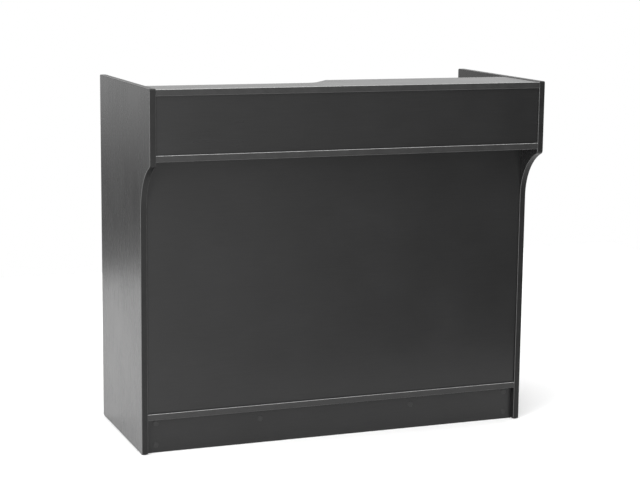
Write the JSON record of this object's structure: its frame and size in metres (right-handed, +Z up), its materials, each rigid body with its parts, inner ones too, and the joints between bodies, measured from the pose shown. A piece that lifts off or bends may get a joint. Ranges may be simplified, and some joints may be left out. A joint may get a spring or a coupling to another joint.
{
  "type": "checkout counter",
  "caption": "Ledge-top checkout counter: raised customer ledge, recessed front, toe kick, and an open cashier side with worktop, shelves and a lockable roller drawer.",
  "frame": {"origin": "on the floor, under the middle of the counter's box", "axes": "+X along the counter to a customer's right, +Y from the customer side to the open cashier side, +Z up"},
  "size_m": [1.2192, 0.5588, 1.0668],
  "materials": {
    "black_laminate": "black melamine laminate on board, satin, faint vertical grain",
    "edge_band": "black edge banding, satin",
    "hardboard": "dark tempered hardboard",
    "dowel_wood": "raw beech",
    "zinc": "die-cast zinc, dull",
    "screw_steel": "zinc plated",
    "cap_plastic": "black moulded plastic",
    "glide_plastic": "black moulded plastic",
    "slide_enamel": "off-white epoxy powder coat",
    "roller_nylon": "natural nylon",
    "pull_metal": "satin nickel",
    "lock_chrome": "polished chrome"
  },
  "bodies": {
    "counter": {"side_panel_left": "black_laminate", "side_panel_right": "black_laminate", "side_edge_band_left": "edge_band", "side_edge_band_right": "edge_band", "ledge_top": "black_laminate", "ledge_edge_bands": "edge_band", "upper_fascia": "black_laminate", "worktop": "black_laminate", "worktop_edge_bands": "edge_band", "lower_front_panel": "black_laminate", "bottom_deck": "black_laminate", "deck_edge_bands": "edge_band", "front_kick": "black_laminate", "rear_kick": "black_laminate", "centre_partition": "black_laminate", "partition_edge_band": "edge_band", "shelf_left": "black_laminate", "shelf_right": "black_laminate", "shelf_edge_bands": "edge_band", "shelf_pins": "zinc", "cam_locks": "zinc", "cam_bolts": "zinc", "wood_dowels": "dowel_wood", "cam_cover_caps": "cap_plastic", "floor_glides": "glide_plastic", "glide_nails": "screw_steel", "slide_rail_left": "slide_enamel", "slide_rail_right": "slide_enamel", "rail_roller_pins": "screw_steel", "rail_screws": "screw_steel", "lock_strike": "screw_steel", "strike_screws": "screw_steel"},
    "drawer": {"drawer_front": "black_laminate", "drawer_front_edge_band": "edge_band", "drawer_side_left": "black_laminate", "drawer_side_right": "black_laminate", "drawer_back": "black_laminate", "drawer_box_front": "black_laminate", "drawer_bottom": "hardboard", "box_screws": "screw_steel", "front_screws": "screw_steel", "drawer_pull": "pull_metal", "pull_screws": "screw_steel", "drawer_runner_left": "slide_enamel", "drawer_runner_right": "slide_enamel", "runner_screws": "screw_steel", "runner_roller_pins": "screw_steel", "lock_housing": "lock_chrome", "lock_nut": "screw_steel"},
    "lock": {"lock_plug": "lock_chrome", "lock_cam": "screw_steel", "lock_cam_screw": "screw_steel"},
    "rail_wheel_left": {"rail_roller_left": "roller_nylon"},
    "rail_wheel_right": {"rail_roller_right": "roller_nylon"},
    "runner_wheel_left": {"runner_roller_left": "roller_nylon"},
    "runner_wheel_right": {"runner_roller_right": "roller_nylon"}
  },
  "joints": [
    {"name": "drawer_slide", "type": "slide", "parent": "counter", "child": "drawer", "axis": [0, 1, 0], "range_m": [0, 0.26]},
    {"name": "lock_turn", "type": "hinge", "parent": "drawer", "child": "lock", "pos_m": [0.3003, 0.2514, 0.838], "axis": [0, 1, 0], "range_deg": [0, 90]},
    {"name": "rail_roller_left_spin", "type": "hinge", "parent": "counter", "child": "rail_wheel_left", "pos_m": [0.0152, 0.2189, 0.758], "axis": [-1, 0, 0], "range_deg": [0, 1495]},
    {"name": "runner_roller_left_spin", "type": "hinge", "parent": "drawer", "child": "runner_wheel_left", "pos_m": [0.0152, -0.1046, 0.757], "axis": [-1, 0, 0], "range_deg": [0, 1495]},
    {"name": "rail_roller_right_spin", "type": "hinge", "parent": "counter", "child": "rail_wheel_right", "pos_m": [0.5854, 0.2189, 0.758], "axis": [-1, 0, 0], "range_deg": [0, 1495]},
    {"name": "runner_roller_right_spin", "type": "hinge", "parent": "drawer", "child": "runner_wheel_right", "pos_m": [0.5854, -0.1046, 0.757], "axis": [-1, 0, 0], "range_deg": [0, 1495]}
  ],
  "couplings": [
    {"joint": "rail_roller_left_spin", "follows": "drawer_slide", "rad_per_m": 100},
    {"joint": "runner_roller_left_spin", "follows": "drawer_slide", "rad_per_m": 100},
    {"joint": "rail_roller_right_spin", "follows": "drawer_slide", "rad_per_m": 100},
    {"joint": "runner_roller_right_spin", "follows": "drawer_slide", "rad_per_m": 100}
  ]
}
